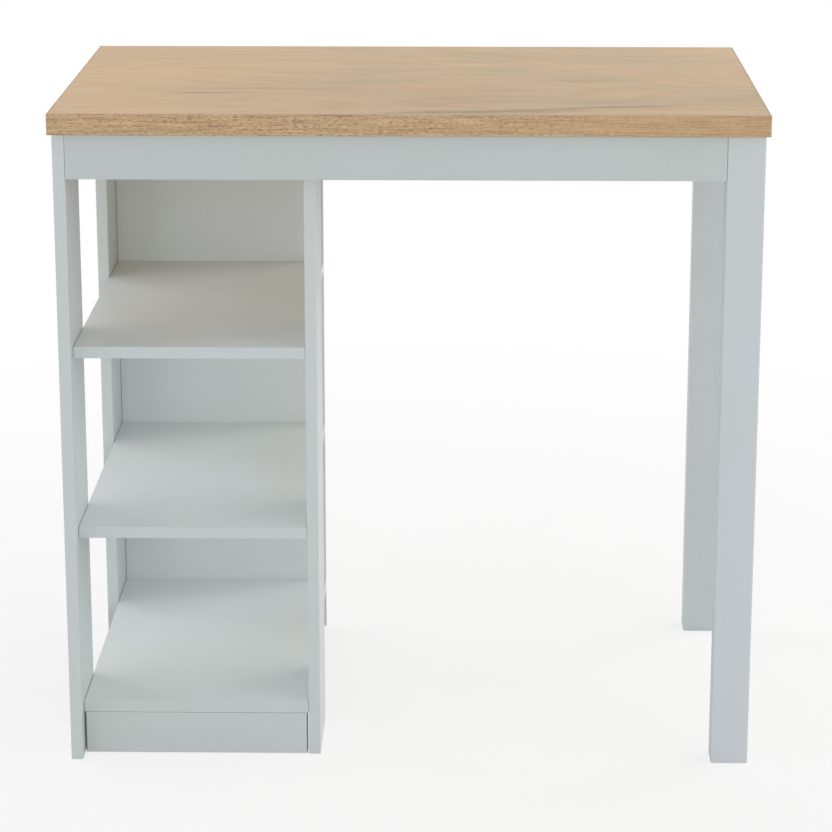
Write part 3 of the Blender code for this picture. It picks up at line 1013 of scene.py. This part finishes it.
@dataclass(frozen=True)
class EdgedBoard:
    """A pale board: a faced core, with a strip of edging glued to each edge that stays open.

    Attributes:
        node: the board's name in the frame.
        edged: the sides that have a strip, in the order in which they are glued on.
        raw: the sides that have none, where chipboard shows, dark as painted shade.
        edging: the thickness of a strip, and of the slice that shows chipboard.
        glue_line: the width of the joint behind a strip.
        chips: the finish of the chipboard, which is partly painted shade.
    """

    node: str
    edged: tuple[Side, ...]
    raw: tuple[Side, ...] = ()
    edging: float = 0.0010
    glue_line: float = 0.00007
    chips: ShadedChipboard = ShadedChipboard()

    @staticmethod
    def keep_behind(body: Shape, point: Vector, away: Vector) -> None:
        """Take off what lies past a plane, and close the cut.

        Args:
            body: the closed body that is cut.
            point: a point on the plane.
            away: the way that the plane faces.
        """
        everything = [*body.verts, *body.edges, *body.faces]
        plane = {"plane_co": point, "plane_no": away, "dist": WELD / 10}
        cut = bmesh.ops.bisect_plane(body, geom=everything, clear_outer=True, **plane)
        rim = [item for item in cut["geom_cut"] if isinstance(item, bmesh.types.BMEdge)]
        bmesh.ops.triangle_fill(body, edges=rim, use_beauty=True, normal=away)
        bmesh.ops.recalc_face_normals(body, faces=body.faces)

    def show(self, body: Shape, part: str, material: Material) -> None:
        """Show one part of the board, which is called by the board's name and its own."""
        name = f"{self.node}_{part}"
        add_piece(name, mesh_of(body, name, material), Slot.MELAMINE, self.node)

    def build(self, face: Melamine, edge: Edging) -> None:
        """Slice the edging off the board, so that core and strips show as separate pieces.

        Args:
            face: the finish of the core.
            edge: the finish of the strips.
        """
        extent = Extent.of(self.node)
        core = bmesh.new()
        core.from_mesh(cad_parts[self.node].data)
        bmesh.ops.remove_doubles(core, verts=core.verts, dist=WELD)
        edge_material = edge.material(f"{self.node}_edging", extent)
        slices = [(side, "edging", edge_material) for side in self.edged]
        # Bare ends take the dark chipboard, which paints the shade in the gaps beside them.
        if self.raw:
            shaded_raw_material = self.chips.material(f"{self.node}_chipboard")
            slices += [(side, "raw_end_painted_shade", shaded_raw_material) for side in self.raw]
        for side, kind, material in slices:
            out = Vector(side.value)
            rim = extent.middle + out * (abs(extent.size.dot(out)) / 2)
            strip = core.copy()
            self.keep_behind(strip, rim - out * self.edging, -out)
            self.keep_behind(core, rim - out * (self.edging + self.glue_line), out)
            self.show(strip, f"{side.name.lower()}_{kind}", material)
        self.show(core, "board", face.material(f"{self.node}_face", extent))


@dataclass(frozen=True)
class Worktop:
    """The oak-look top and the strips round its edge."""

    face: OakLaminate = OakLaminate()
    strip: OakStrip = OakStrip()
    long_strips: tuple[str, ...] = ("worktop_edge_front", "worktop_edge_rear")
    short_strips: tuple[str, ...] = ("worktop_edge_left", "worktop_edge_right")

    def dress(self) -> None:
        """Give the top its laminate, and each strip grain along its own length."""
        dress_node("worktop", self.face.material("oak_laminate", Extent.of("worktop")), Slot.OAK_LAMINATE)
        ways = {GrainWay.ALONG_X: self.long_strips, GrainWay.ALONG_Y: self.short_strips}
        for way, strips in ways.items():
            material = self.strip.material(f"oak_strip_{way.name.lower()}", way)
            for node in strips:
                dress_node(node, material, Slot.OAK_EDGE)


@dataclass(frozen=True)
class RailFrame:
    """The four rails under the worktop, with edging along their lower edges and faces darkened as painted
    shade.
    """

    nodes: tuple[str, ...] = ("front_rail", "rear_rail", "left_rail", "right_rail")
    edged: tuple[Side, ...] = (Side.UNDER,)
    # The faces are a shade darker than the posts': painted shade from the worktop's overhang.
    face: Melamine = Melamine(tone(192, 201, 199), tone(195, 202, 203))
    edge: Edging = Edging()

    def build(self) -> None:
        """Build the rails."""
        for node in self.nodes:
            EdgedBoard(node, self.edged).build(self.face, self.edge)


@dataclass(frozen=True)
class ShelfUnit:
    """The open shelves: three posts, three shelves, a plinth and a back panel, one melamine in lit and shaded
    tints.
    """

    front_posts: tuple[str, ...] = ("front_left_post", "front_right_post")
    rear_posts: tuple[str, ...] = ("rear_left_post",)
    post_edges: tuple[Side, ...] = (Side.FRONT, Side.REAR)
    shelf_edges: tuple[Side, ...] = (Side.FRONT, Side.LEFT, Side.RIGHT)
    panel_edges: tuple[Side, ...] = (Side.LEFT, Side.RIGHT)
    plinth_edges: tuple[Side, ...] = (Side.UNDER,)
    # The plinth's ends are bare chipboard, whose dark grey paints the shade in the gaps at its ends.
    plinth_ends: tuple[Side, ...] = (Side.LEFT, Side.RIGHT)
    post_face: Melamine = Melamine()
    # The plinth's face is a little darker than the posts': painted shade.
    plinth_face_painted_shade: Melamine = Melamine(tone(200, 207, 205), tone(203, 209, 211))
    # The shelves are paler, and the rear post and back panel a shade paler: painted light in the bays.
    shelf_face_painted_light: Melamine = Melamine(tone(224, 229, 227), tone(226, 231, 232))
    rear_face_painted_light: Melamine = Melamine(tone(216, 221, 219), tone(218, 223, 224))
    edge: Edging = Edging()
    # The rear post's edging is paler too: painted light.
    rear_edge_painted_light: Edging = Edging(tone(214, 221, 219), tone(216, 222, 224))

    def build(self) -> None:
        """Build the boards of the unit."""
        boards = (
            (self.front_posts, self.post_edges, self.post_face, self.edge),
            (self.rear_posts, self.post_edges, self.rear_face_painted_light, self.rear_edge_painted_light),
            (SHELVES, self.shelf_edges, self.shelf_face_painted_light, self.edge),
            (("back_panel",), self.panel_edges, self.rear_face_painted_light, self.edge),
        )
        for nodes, sides, face, edge in boards:
            for node in nodes:
                EdgedBoard(node, sides).build(face, edge)
        EdgedBoard("plinth", self.plinth_edges, self.plinth_ends).build(self.plinth_face_painted_shade, self.edge)


@dataclass(frozen=True)
class Legs:
    """The two wrapped legs at the right."""

    nodes: tuple[str, ...] = ("front_leg", "rear_leg")
    wrap: Melamine = Melamine(tone(200, 207, 209), tone(202, 208, 213), rub_reach=0.003)

    def dress(self) -> None:
        """Give the legs their wrapped finish."""
        for node in self.nodes:
            dress_node(node, self.wrap.material(f"{node}_wrap", Extent.of(node)), Slot.MELAMINE)


@dataclass(frozen=True)
class CrossPoint:
    """The shape of a driver's cross point, which cuts a recess that narrows to its floor.

    Attributes:
        reach: from the middle to the end of a wing at Z = 0.
        width: the width of a wing.
        depth: how far the tip lies below Z = 0.
        taper: the share of the reach that is left at the tip.
        proud: how far it stands above Z = 0, as a share of the depth.
    """

    reach: float
    width: float
    depth: float
    taper: float
    proud: float = 0.2

    def body(self) -> Shape:
        """Return the body, which stands on its tip.

        Returns:
            A plus sign that narrows towards its tip.
        """
        half = self.width / 2
        corners = [(self.reach, half), (half, half), (half, self.reach)]
        quarters = [Matrix.Rotation(math.pi / 2 * turn, 2) for turn in range(4)]
        outline = [quarter @ Vector(corner) for quarter in quarters for corner in corners]
        levels = ((self.depth * self.proud, 1.0), (-self.depth, self.taper))
        return loft([[(p.x * share, p.y * share, height) for p in outline] for height, share in levels])


@dataclass(frozen=True)
class Thread:
    """A running thread; half_ridge is half the width of its ridge, as a share of the pitch."""

    crest: float
    root: float
    pitch: float
    half_ridge: float

    def radius(self, along: float, angle: float) -> float:
        """Return the radius at a length along the thread and an angle round it."""
        turn = (along / self.pitch - angle / (2 * math.pi)) % 1.0
        return self.root + (self.crest - self.root) * max(0.0, 1.0 - abs(turn - 0.5) / self.half_ridge)


@dataclass(frozen=True)
class Screws:
    """Countersunk screws with a cross recess and a running thread."""

    head_radius: float = 0.0040
    head_length: float = 0.0025
    thread: Thread = Thread(crest=0.0020, root=0.0014, pitch=0.0018, half_ridge=0.28)
    tip: float = 0.0050
    tip_share: float = 0.06
    around: int = 20
    steps_per_turn: int = 6
    recess: CrossPoint = CrossPoint(reach=0.0023, width=0.0010, depth=0.0019, taper=0.45)

    def radius_at(self, height: float, angle: float, length: float) -> float:
        """Return the radius of a screw that hangs head up from Z = 0.

        Args:
            height: the height, which is 0 or less.
            angle: the angle round the screw.
            length: the screw's length.

        Returns:
            The radius.
        """
        down = -height
        if down <= self.head_length:
            return self.head_radius + (self.thread.root - self.head_radius) * down / self.head_length
        return self.thread.radius(down, angle) * max(self.tip_share, min(1.0, (length - down) / self.tip))

    def mesh(self, name: str, length: float, material: Material) -> Mesh:
        """Build a screw.

        Args:
            name: the mesh's name.
            length: the screw's length.
            material: its finish.

        Returns:
            The mesh, head up, with the head's face at Z = 0.
        """
        step = self.thread.pitch / self.steps_per_turn
        count = int((length - self.head_length) / step)
        heights = [0.0, *(-self.head_length - step * index for index in range(count)), -length]
        body = ringed_body(heights, self.around, lambda height, angle: self.radius_at(height, angle, length))
        return smoothed(carve(body, self.recess.body()), name, material)

    def build(self, nodes: Sequence[str], side: Side, material: Material) -> None:
        """Put a screw in the place of each one that the frame has.

        Args:
            nodes: the screws' names in the frame, which are alike.
            side: the way that their heads face.
            material: their finish.
        """
        out = Vector(side.value)
        length = abs(Extent.of(nodes[0]).size.dot(out))
        mesh = self.mesh(f"{nodes[0]}_thread", length, material)
        for node in nodes:
            head = Extent.of(node).middle + out * length / 2
            where = Matrix.Translation(head) @ out.to_track_quat("Z", "Y").to_matrix().to_4x4()
            add_piece(f"{node}_threaded", mesh, Slot.STEEL, node, where)


@dataclass(frozen=True)
class CamLocks:
    """Cast cam locks in the undersides of the shelves, with a cross slot and a pointer towards the bolt."""

    radius: float = 0.0074
    chamfer: float = 0.0006
    lip: float = 0.0030
    waist_radius: float = 0.0069
    around: int = 48
    cross_slot: CrossPoint = CrossPoint(reach=0.0034, width=0.0014, depth=0.0026, taper=0.5)
    pointer_place: float = 0.0054
    pointer_size: float = 0.0013
    pointer_depth: float = 0.0008
    bolt_radius: float = 0.0038
    bolt_past_middle: float = 0.0022
    bolt_depth: float = 0.0077
    bolt_around: int = 24

    def disc(self, height: float) -> Shape:
        """Return the turned body of a cam, with its face at Z = 0 and the rest below it.

        Args:
            height: the height of the cam.

        Returns:
            The body.
        """
        profile = {
            0.0: self.radius - self.chamfer,
            -self.chamfer: self.radius,
            -self.lip: self.radius,
            -self.lip - self.chamfer: self.waist_radius,
            -height: self.waist_radius,
        }
        return turned(profile, self.around)

    def pointer(self) -> Shape:
        """Build the tool that marks the face with a triangle.

        Returns:
            The body, which points along +X.
        """
        size = self.pointer_size
        corners = [(size, 0.0), (-size / 2, size), (-size / 2, -size)]
        levels = (self.pointer_depth, -self.pointer_depth)
        return loft([[(self.pointer_place + x, y, level) for x, y in corners] for level in levels])

    def bolt_way(self) -> Shape:
        """Build the tool that opens the cam's side for the bolt.

        Returns:
            The body, which lies along +X.
        """
        ends = (-self.bolt_past_middle, 2 * self.radius)
        body = turned(dict.fromkeys(ends, self.bolt_radius), self.bolt_around)
        where = Matrix.Translation((0, 0, -self.bolt_depth)) @ Matrix.Rotation(math.pi / 2, 4, "Y")
        bmesh.ops.transform(body, matrix=where, verts=body.verts)
        return body

    def build(self, material: Material) -> None:
        """Put a detailed cam in the place of each one that the frame has.

        Args:
            material: their finish.
        """
        body = self.disc(Extent.of(f"{SHELVES[0]}_left_cam").size.z)
        for tool in (self.cross_slot.body(), self.pointer(), self.bolt_way()):
            body = carve(body, tool)
        mesh = smoothed(body, "cam_lock", material)
        face_down = Matrix.Rotation(math.pi, 4, "X")
        turns = {"left": Matrix.Rotation(math.pi, 4, "Z"), "right": Matrix.Identity(4)}
        for shelf in SHELVES:
            for end, turn in turns.items():
                node = f"{shelf}_{end}_cam"
                extent = Extent.of(node)
                face = Vector((extent.middle.x, extent.middle.y, extent.low.z))
                add_piece(f"{node}_cast", mesh, Slot.ZINC, node, Matrix.Translation(face) @ turn @ face_down)


@dataclass(frozen=True)
class LegBolts:
    """Hanger bolts and nuts, which pull the legs into their corner brackets."""

    corners: dict[str, float] = field(default_factory=lambda: {"front_leg": -1.0, "rear_leg": 1.0})
    length: float = 0.054
    thread: Thread = Thread(crest=0.0040, root=0.0034, pitch=0.00125, half_ridge=0.5)
    wood_thread: Thread = Thread(crest=0.0040, root=0.0027, pitch=0.0030, half_ridge=0.25)
    plain_from: float = 0.028
    plain_to: float = 0.034
    tip: float = 0.0060
    tip_share: float = 0.08
    end_chamfer: float = 0.0008
    end_slope: float = 0.5
    around: int = 24
    steps: int = 220
    nut_radius: float = 0.0075
    nut_height: float = 0.0065
    nut_bore: float = 0.0041
    nut_chamfer: float = 0.0009
    nut_end_share: float = 0.84
    nut_clearance: float = 1.01
    nut_around: int = 48

    def bolt_radius(self, height: float, angle: float) -> float:
        """Return the radius of a bolt with its wood thread at the bottom and its machine thread at the top.

        Args:
            height: the height above the tip.
            angle: the angle round the bolt.

        Returns:
            The radius.
        """
        if self.plain_from <= height <= self.plain_to:
            return self.thread.root
        thread = self.wood_thread if height < self.plain_from else self.thread
        radius = thread.radius(height, angle)
        past = height - (self.length - self.end_chamfer)
        if past > 0.0:
            return min(radius, self.thread.root - past * self.end_slope)
        return radius * max(self.tip_share, min(1.0, height / self.tip))

    def nut(self) -> Shape:
        """Build a nut with chamfered corners and a bore.

        Returns:
            The body, whose middle is at the origin.
        """
        half = self.nut_height / 2
        hexagon = bmesh.new()
        size = {"radius1": self.nut_radius, "radius2": self.nut_radius, "depth": self.nut_height}
        bmesh.ops.create_cone(hexagon, segments=6, cap_ends=True, **size)
        past = half + self.nut_chamfer
        end_radius = self.nut_radius * math.cos(math.pi / 6) * self.nut_end_share
        full_radius = self.nut_radius * self.nut_clearance
        profile = {
            -past: end_radius,
            self.nut_chamfer - half: full_radius,
            half - self.nut_chamfer: full_radius,
            past: end_radius,
        }
        rounded = turned(profile, self.nut_around)
        bore = turned(dict.fromkeys((-self.nut_height, self.nut_height), self.nut_bore), self.around)
        return carve(carve(hexagon, rounded, "INTERSECT"), bore)

    def build(self, material: Material) -> None:
        """Put a bolt and a nut in the place of each one that the frame has.

        Args:
            material: their finish.
        """
        heights = [self.length * step / self.steps for step in range(self.steps + 1)]
        bolt = smoothed(ringed_body(heights, self.around, self.bolt_radius), "hanger_bolt", material)
        bolt.transform(Matrix.Translation((0, 0, -self.length / 2)))
        nut = smoothed(self.nut(), "nut", material)
        for leg, side in self.corners.items():
            inward = Vector((-1.0, -side, 0.0)).normalized().to_track_quat("Z", "Y").to_matrix().to_4x4()
            for kind, mesh in (("bolt", bolt), ("nut", nut)):
                node = f"{leg}_{kind}"
                where = Matrix.Translation(Extent.of(node).middle) @ inward
                add_piece(f"{node}_threaded", mesh, Slot.STEEL, node, where)


@dataclass(frozen=True)
class Fasteners:
    """Everything that holds the boards together."""

    zinc: Metal = Metal(tone(176, 177, 178), tone(150, 151, 154), (0.36, 0.50), 0.0006, Relief(0.25, 0.0001))
    steel: Metal = Metal(tone(200, 200, 198), tone(176, 177, 178), (0.24, 0.38), 0.0004, Relief(0.10, 0.0001))
    beech: Beech = Beech()
    screws: Screws = Screws()
    cams: CamLocks = CamLocks()
    bolts: LegBolts = LegBolts()
    panel_screws: tuple[str, ...] = tuple(f"{shelf}_screw" for shelf in SHELVES)
    worktop_screws: tuple[str, ...] = tuple(
        f"worktop_{side}_{end}_screw" for side in ("front", "rear") for end in ENDS
    )

    @staticmethod
    def longest_way(node: str) -> GrainWay:
        """Return the grain's way for a dowel, which is its longest side."""
        size = Extent.of(node).size
        return list(GrainWay)[max(range(3), key=lambda axis: size[axis])]

    def build(self) -> None:
        """Build the fasteners that show, and dress the ones that lie inside the boards."""
        steel = self.steel.material("plated_steel")
        self.cams.build(self.zinc.material("cast_zinc"))
        self.screws.build(self.panel_screws, Side.REAR, steel)
        self.screws.build(self.worktop_screws, Side.UNDER, steel)
        self.bolts.build(steel)
        plain = [f"{leg}_bracket" for leg in self.bolts.corners]
        plain += [f"{shelf}_{end}_bolt" for shelf in SHELVES for end in ENDS]
        for node in plain:
            dress_node(node, steel, Slot.STEEL)
        beech = {way: self.beech.material(f"beech_{way.name.lower()}", way) for way in GrainWay}
        for node in sorted(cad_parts):
            if node.endswith("_dowel"):
                dress_node(node, beech[self.longest_way(node)], Slot.BEECH)


@dataclass(frozen=True)
class Softbox:
    """A large soft lamp that faces the island."""

    name: str
    place: Point
    width: float
    height: float
    power: float


@dataclass(frozen=True)
class Studio:
    """A pale floor, a white surround, soft lamps and the camera."""

    floor_colour: Colour = tone(240, 240, 239)
    floor_reach: float = 14.0
    floor_sides: int = 64
    floor_gap: float = 0.0002
    floor_rough: float = 0.9
    floor_gloss: float = 0.1
    mottle_waves: float = 9.0
    mottle_least: float = 0.985
    near_white: float = 0.74
    fade: Span = (0.60, 2.40)
    sky: float = 0.50
    aim: Point = (0.0, 0.0, 0.42)
    lamps: tuple[Softbox, ...] = (
        Softbox("front_softbox", (0.3, -5.0, 1.6), 3.0, 1.6, 30.0),
        Softbox("right_front_softbox", (3.4, -3.4, 1.7), 2.2, 2.0, 28.0),
        Softbox("left_front_softbox", (-3.4, -3.4, 1.7), 2.2, 2.0, 13.0),
        Softbox("left_high_softbox", (-3.2, -0.6, 2.6), 2.4, 2.0, 16.5),
        Softbox("right_high_softbox", (3.2, -0.6, 2.6), 2.4, 2.0, 26.0),
        Softbox("right_rear_softbox", (3.4, 2.0, 1.6), 2.0, 2.0, 52.0),
        Softbox("left_rear_softbox", (-3.4, 2.0, 1.6), 2.0, 2.0, 42.0),
    )
    eye: Point = (0.0734, -4.1116, 1.5533)
    yaw: float = -0.0166
    pitch: float = 0.2705
    lens: float = 128.8
    sensor: float = 36.0

    def lay_floor(self) -> None:
        """Lay a matt floor that fades to white away from the island and keeps its shadow."""
        body = bmesh.new()
        bmesh.ops.create_circle(body, cap_ends=True, segments=self.floor_sides, radius=self.floor_reach)
        floor = linked("floor", mesh_of(body, "floor"))
        floor.location.z = -self.floor_gap
        paint = Paint("floor_paint")
        place = paint.place()
        mottle = paint.noise(place, self.mottle_waves, detail=4.0)
        mottle = paint.ranged(mottle, *MOST_NOISE, self.mottle_least, 1.0)
        material = paint.coat({
            "Base Color": paint.shade(self.floor_colour, mottle),
            "Roughness": self.floor_rough,
            "Specular IOR Level": self.floor_gloss,
        })
        far = paint.add("ShaderNodeVectorMath", {0: place}, operation="LENGTH").outputs["Value"]
        fade = paint.ranged(far, *self.fade, self.near_white, 1.0)
        white = paint.add("ShaderNodeEmission", {"Color": WHITE, "Strength": 1.0}).outputs[0]
        shaders = {0: paint.times(fade, paint.seen()), 1: paint.shader.outputs[0], 2: white}
        mixed = paint.add("ShaderNodeMixShader", shaders).outputs[0]
        paint.plug(paint.tree.nodes["Material Output"], {"Surface": mixed})
        floor.data.materials.append(material)

    def light_sky(self) -> None:
        """Surround the island with even light, which the camera sees as white."""
        world = bpy.data.worlds.new("white_surround")
        bpy.context.scene.world = world
        world.use_nodes = True
        graph = Graph(world.node_tree)
        strength = graph.ranged(graph.seen(), 0.0, 1.0, self.sky, 1.0)
        graph.plug(world.node_tree.nodes["Background"], {"Color": WHITE, "Strength": strength})

    @staticmethod
    def stand(name: str, data: bpy.types.ID, place: Point, ahead: Vector) -> bpy.types.Object:
        """Stand a lamp or a camera somewhere.

        Args:
            name: its name.
            data: the lamp or the camera.
            place: where it stands.
            ahead: the way that it looks.

        Returns:
            The object that holds it.
        """
        holder = linked(name, data)
        holder.location = place
        holder.rotation_mode = "QUATERNION"
        holder.rotation_quaternion = ahead.to_track_quat("-Z", "Y")
        return holder

    def hang_lamps(self) -> None:
        """Hang the soft lamps, each turned to the island."""
        for box in self.lamps:
            lamp = bpy.data.lights.new(box.name, "AREA")
            lamp.shape = "RECTANGLE"
            lamp.size = box.width
            lamp.size_y = box.height
            lamp.energy = box.power
            holder = self.stand(box.name, lamp, box.place, Vector(self.aim) - Vector(box.place))
            holder.visible_camera = False

    def stand_camera(self) -> None:
        """Stand the camera in front of the island, a little above it."""
        camera = bpy.data.cameras.new("camera")
        camera.lens = self.lens
        camera.sensor_width = self.sensor
        ahead = Vector((math.sin(self.yaw), math.cos(self.yaw), -math.tan(self.pitch)))
        bpy.context.scene.camera = self.stand("camera", camera, self.eye, ahead)

    def build(self) -> None:
        """Set up the floor, the light and the camera."""
        bpy.context.scene.view_settings.view_transform = "Standard"
        self.lay_floor()
        self.light_sky()
        self.hang_lamps()
        self.stand_camera()


def main() -> None:
    """Build and dress the island from the top down, then set up the studio."""
    logging.basicConfig(level=logging.INFO, format="%(message)s")
    Worktop().dress()
    RailFrame().build()
    ShelfUnit().build()
    Legs().dress()
    Fasteners().build()
    Studio().build()


if __name__ == "__main__":
    main()
